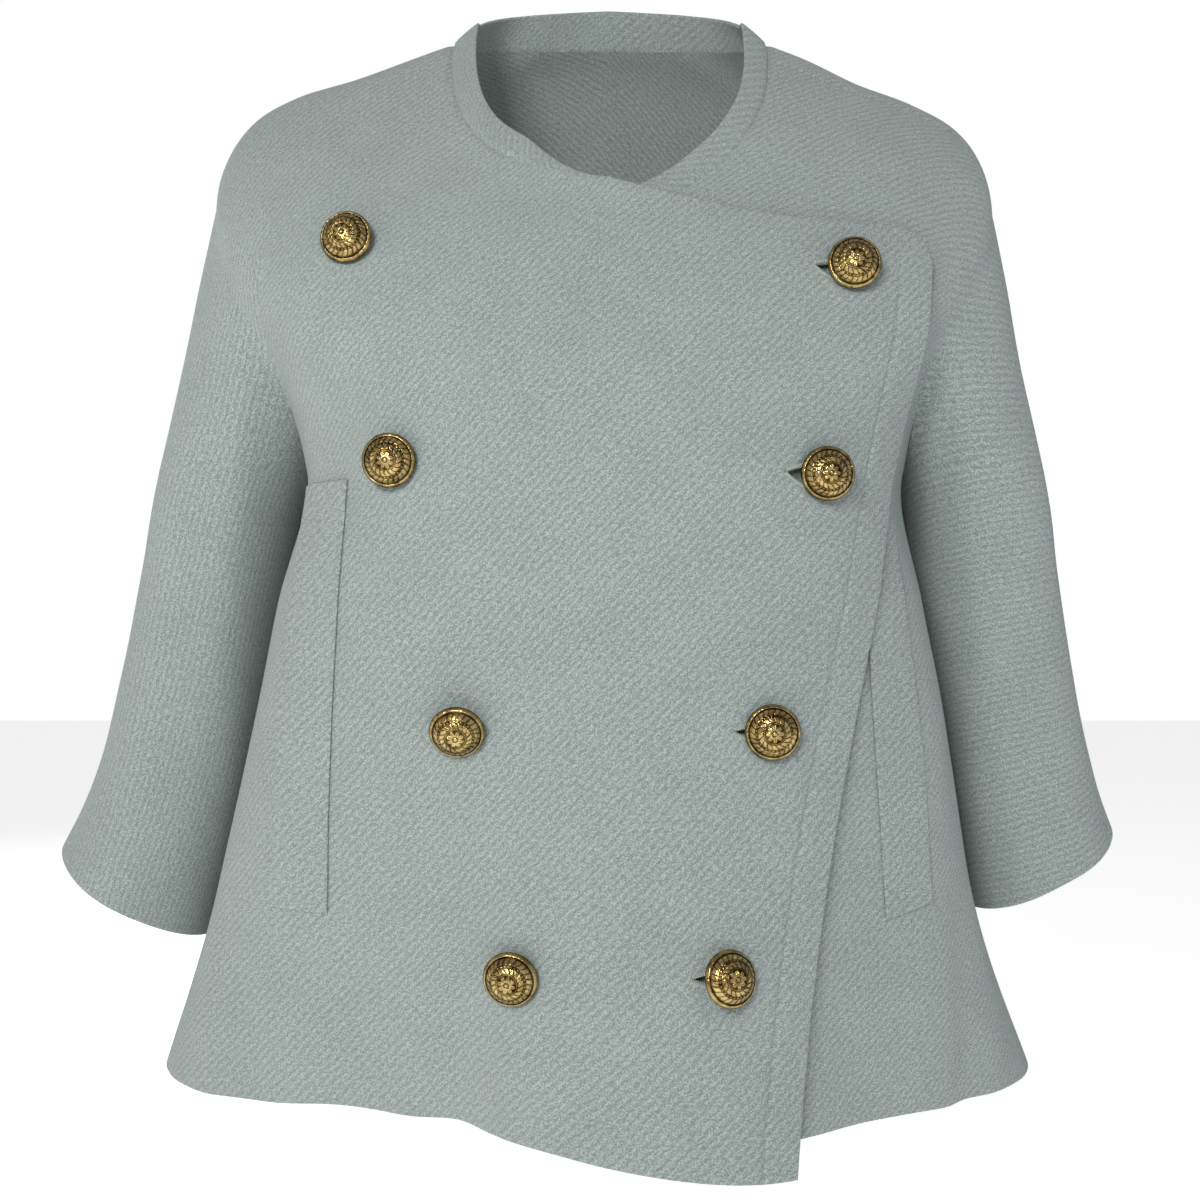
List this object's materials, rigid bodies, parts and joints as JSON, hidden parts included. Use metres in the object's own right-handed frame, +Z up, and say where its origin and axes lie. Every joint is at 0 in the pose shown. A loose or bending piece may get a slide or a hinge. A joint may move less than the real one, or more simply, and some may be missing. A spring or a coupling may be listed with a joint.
{
  "type": "double-breasted cropped swing jacket with cut-on bell sleeves",
  "caption": "Short double-breasted jacket in heavy wool twill, worn form: cut-on wide sleeves, flat neck band, wide overlap, long slanted pocket welts and domed metal buttons.",
  "frame": {"origin": "middle of the neck opening, level with the points where neck seam and shoulder ridge meet, where the wearer's shoulders hold it", "axes": "+X towards the wearer's left, +Y towards the wearer's back, +Z up"},
  "size_m": [0.632, 0.3347, 0.671],
  "materials": {
    "cloth": "heavy napped wool twill",
    "brass": "antiqued, satin"
  },
  "bodies": {
    "root": {"front_right": "cloth", "front_left": "cloth", "back": "cloth", "front_edge_band": "cloth", "collar_right": "cloth", "collar_left": "cloth", "collar_back": "cloth", "pocket_welt_right": "cloth", "pocket_welt_left": "cloth", "button_right_1": "brass", "button_right_2": "brass", "button_right_3": "brass", "button_right_4": "brass", "button_left_1": "brass", "button_left_2": "brass", "button_left_3": "brass", "button_left_4": "brass"}
  },
  "joints": []
}
